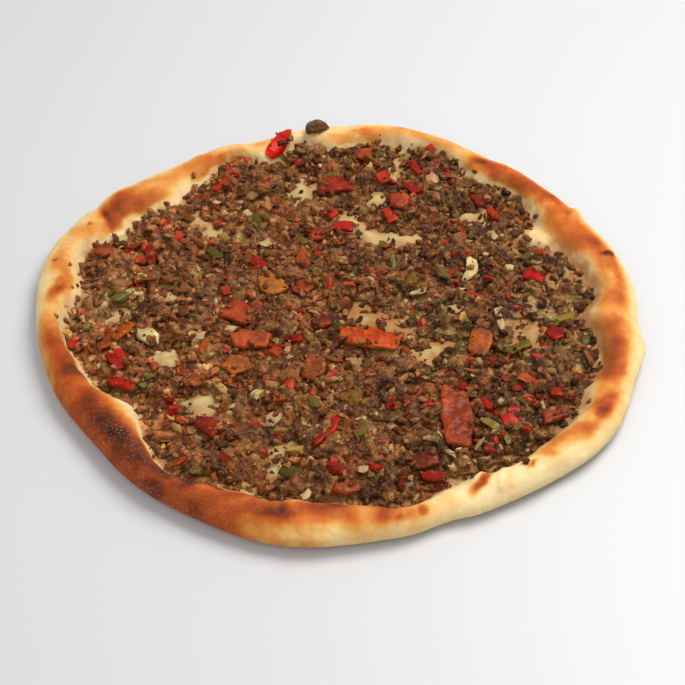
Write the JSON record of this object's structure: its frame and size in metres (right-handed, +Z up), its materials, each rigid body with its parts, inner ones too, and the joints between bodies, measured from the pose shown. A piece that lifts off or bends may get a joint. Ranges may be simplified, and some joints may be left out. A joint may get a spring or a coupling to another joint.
{
  "type": "minced meat pizza",
  "caption": "Round flat bread with a puffed, browned rim, spread with crumbs of minced meat and small pieces of tomato, pepper, green chilli and onion.",
  "frame": {"origin": "centre of the whole pizza's outline, on the flat underside", "axes": "+Z up, through the toppings; +Y to the pizza's back edge and +X to its right, as it lies before the eater"},
  "size_m": [0.2562, 0.249, 0.0173],
  "materials": {
    "crust": "baked, matt",
    "meat": "cooked, slightly oily",
    "tomato": "moist",
    "amber": "moist",
    "pepper": "moist, shiny skin",
    "chilli": "moist",
    "onion": "moist"
  },
  "bodies": {
    "root": {"amber_back": "amber", "amber_brown": "amber", "amber_gold": "amber", "amber_gold_small": "amber", "amber_pink": "amber", "amber_right": "amber", "amber_slice": "amber", "amber_small": "amber", "amber_strip": "amber", "amber_thin": "amber", "chilli_front": "chilli", "chilli_middle": "chilli", "chilli_pale": "chilli", "chilli_rear": "chilli", "chilli_ring": "chilli", "chilli_strip": "chilli", "crust": "crust", "meat": "meat", "meat_clump": "meat", "onion_curl": "onion", "onion_left": "onion", "onion_pale": "onion", "onion_slice": "onion", "onion_sliver_back": "onion", "onion_sliver_right": "onion", "onion_strip": "onion", "pepper_curl_back": "pepper", "pepper_curl_front": "pepper", "pepper_edge": "pepper", "pepper_far": "pepper", "pepper_left": "pepper", "pepper_left_lower": "pepper", "pepper_left_upper": "pepper", "pepper_low_right": "pepper", "pepper_rear": "pepper", "pepper_rear_right": "pepper", "pepper_right": "pepper", "pepper_rim": "pepper", "pepper_round": "pepper", "pepper_side": "pepper", "pepper_sliver": "pepper", "pepper_strip_front": "pepper", "tomato_back": "tomato", "tomato_corner": "tomato", "tomato_dark": "tomato", "tomato_deep": "tomato", "tomato_edge": "tomato", "tomato_front": "tomato", "tomato_left_lower": "tomato", "tomato_left_upper": "tomato", "tomato_long": "tomato", "tomato_middle": "tomato", "tomato_rear": "tomato", "tomato_side": "tomato", "tomato_skin": "tomato"}
  },
  "joints": []
}
